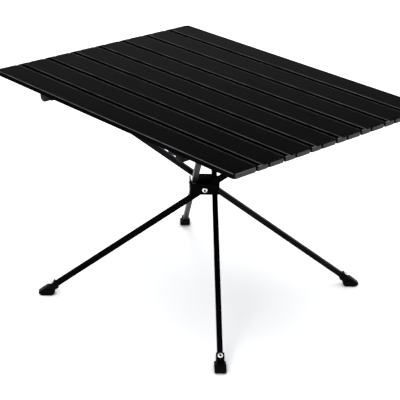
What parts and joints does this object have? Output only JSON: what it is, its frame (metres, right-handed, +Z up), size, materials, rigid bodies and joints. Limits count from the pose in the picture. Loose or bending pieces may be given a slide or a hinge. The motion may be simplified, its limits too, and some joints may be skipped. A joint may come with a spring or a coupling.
{
  "type": "folding camp table",
  "caption": "Low folding camp table: a roll-up slatted top on a pinwheel frame of crossed square tubes with moulded feet.",
  "frame": {"origin": "on the ground, under the middle of the bounding box", "axes": "+X along the slats, +Y across them from the front edge to the back, +Z up"},
  "size_m": [0.563, 0.4546, 0.365],
  "materials": {
    "slat_aluminium": "black matt coating",
    "cap_plastic": "moulded",
    "rail_aluminium": "black anodised",
    "clip_nylon": "moulded",
    "tube_aluminium": "black anodised",
    "foot_nylon": "moulded",
    "hub_nylon": "moulded",
    "bracket_metal": "black painted",
    "bright_steel": "bright"
  },
  "bodies": {
    "hub": {"hub_core": "hub_nylon", "hub_bracket": "bracket_metal", "pivot_pin_1": "bright_steel", "pivot_pin_2": "bright_steel", "pivot_pin_3": "bright_steel", "pivot_pin_4": "bright_steel"},
    "leg_1": {"frame_tube_1": "tube_aluminium", "foot_1": "foot_nylon", "foot_rivet_1": "bright_steel", "arm_tip_1": "foot_nylon", "tip_rivet_1": "bright_steel"},
    "leg_2": {"frame_tube_2": "tube_aluminium", "foot_2": "foot_nylon", "foot_rivet_2": "bright_steel", "arm_tip_2": "foot_nylon", "tip_rivet_2": "bright_steel"},
    "leg_3": {"frame_tube_3": "tube_aluminium", "foot_3": "foot_nylon", "foot_rivet_3": "bright_steel", "arm_tip_3": "foot_nylon", "tip_rivet_3": "bright_steel"},
    "leg_4": {"frame_tube_4": "tube_aluminium", "foot_4": "foot_nylon", "foot_rivet_4": "bright_steel", "arm_tip_4": "foot_nylon", "tip_rivet_4": "bright_steel"},
    "rails": {"cross_rail_left": "rail_aluminium", "cross_rail_right": "rail_aluminium", "rail_clip_front_left": "clip_nylon", "rail_clip_front_right": "clip_nylon", "rail_clip_back_left": "clip_nylon", "rail_clip_back_right": "clip_nylon", "arm_seat_front_left": "clip_nylon", "arm_seat_front_right": "clip_nylon", "arm_seat_back_left": "clip_nylon", "arm_seat_back_right": "clip_nylon"},
    "slat_body_1": {"slat_1": "slat_aluminium", "end_cap_left_1": "cap_plastic", "end_cap_right_1": "cap_plastic"},
    "slat_body_2": {"slat_2": "slat_aluminium", "end_cap_left_2": "cap_plastic", "end_cap_right_2": "cap_plastic"},
    "slat_body_3": {"slat_3": "slat_aluminium", "end_cap_left_3": "cap_plastic", "end_cap_right_3": "cap_plastic"},
    "slat_body_4": {"slat_4": "slat_aluminium", "end_cap_left_4": "cap_plastic", "end_cap_right_4": "cap_plastic"},
    "slat_body_5": {"slat_5": "slat_aluminium", "end_cap_left_5": "cap_plastic", "end_cap_right_5": "cap_plastic"},
    "slat_body_6": {"slat_6": "slat_aluminium", "end_cap_left_6": "cap_plastic", "end_cap_right_6": "cap_plastic"},
    "slat_body_7": {"slat_7": "slat_aluminium", "end_cap_left_7": "cap_plastic", "end_cap_right_7": "cap_plastic"},
    "slat_body_8": {"slat_8": "slat_aluminium", "end_cap_left_8": "cap_plastic", "end_cap_right_8": "cap_plastic"}
  },
  "joints": [
    {"name": "frame_fold", "type": "hinge", "parent": "hub", "child": "leg_1", "pos_m": [0.01113, 0.01324, 0.1965], "axis": [0.6436, 0.7654, 0], "range_deg": [0, 50]},
    {"name": "fold_2", "type": "hinge", "parent": "hub", "child": "leg_2", "pos_m": [-0.01324, 0.01113, 0.1965], "axis": [-0.7654, 0.6436, 0], "range_deg": [0, 50]},
    {"name": "fold_3", "type": "hinge", "parent": "hub", "child": "leg_3", "pos_m": [-0.01113, -0.01324, 0.1965], "axis": [-0.6436, -0.7654, 0], "range_deg": [0, 50]},
    {"name": "fold_4", "type": "hinge", "parent": "hub", "child": "leg_4", "pos_m": [0.01324, -0.01113, 0.1965], "axis": [0.7654, -0.6436, 0], "range_deg": [0, 50]},
    {"name": "top_lift", "type": "slide", "parent": "hub", "child": "rails", "axis": [0, 0, 1], "range_m": [0, 0.2659]},
    {"name": "mat_unclip", "type": "slide", "parent": "rails", "child": "slat_body_1", "axis": [0, 0, 1], "range_m": [0, 0.04]},
    {"name": "roll_up", "type": "hinge", "parent": "slat_body_1", "child": "slat_body_2", "pos_m": [0, -0.1635, 0.3604], "axis": [1, 0, 0], "range_deg": [0, 45]},
    {"name": "roll_2", "type": "hinge", "parent": "slat_body_2", "child": "slat_body_3", "pos_m": [0, -0.109, 0.3604], "axis": [1, 0, 0], "range_deg": [0, 45]},
    {"name": "roll_3", "type": "hinge", "parent": "slat_body_3", "child": "slat_body_4", "pos_m": [0, -0.0545, 0.3604], "axis": [1, 0, 0], "range_deg": [0, 45]},
    {"name": "roll_4", "type": "hinge", "parent": "slat_body_4", "child": "slat_body_5", "pos_m": [0, 0, 0.3604], "axis": [1, 0, 0], "range_deg": [0, 45]},
    {"name": "roll_5", "type": "hinge", "parent": "slat_body_5", "child": "slat_body_6", "pos_m": [0, 0.0545, 0.3604], "axis": [1, 0, 0], "range_deg": [0, 45]},
    {"name": "roll_6", "type": "hinge", "parent": "slat_body_6", "child": "slat_body_7", "pos_m": [0, 0.109, 0.3604], "axis": [1, 0, 0], "range_deg": [0, 45]},
    {"name": "roll_7", "type": "hinge", "parent": "slat_body_7", "child": "slat_body_8", "pos_m": [0, 0.1635, 0.3604], "axis": [1, 0, 0], "range_deg": [0, 45]}
  ],
  "couplings": [
    {"joint": "fold_2", "follows": "frame_fold", "ratio": 1},
    {"joint": "fold_3", "follows": "frame_fold", "ratio": 1},
    {"joint": "fold_4", "follows": "frame_fold", "ratio": 1},
    {"joint": "top_lift", "follows": "frame_fold", "m_per_rad": 0.3047},
    {"joint": "roll_2", "follows": "roll_up", "ratio": 1},
    {"joint": "roll_3", "follows": "roll_up", "ratio": 1},
    {"joint": "roll_4", "follows": "roll_up", "ratio": 1},
    {"joint": "roll_5", "follows": "roll_up", "ratio": 1},
    {"joint": "roll_6", "follows": "roll_up", "ratio": 1},
    {"joint": "roll_7", "follows": "roll_up", "ratio": 1}
  ]
}
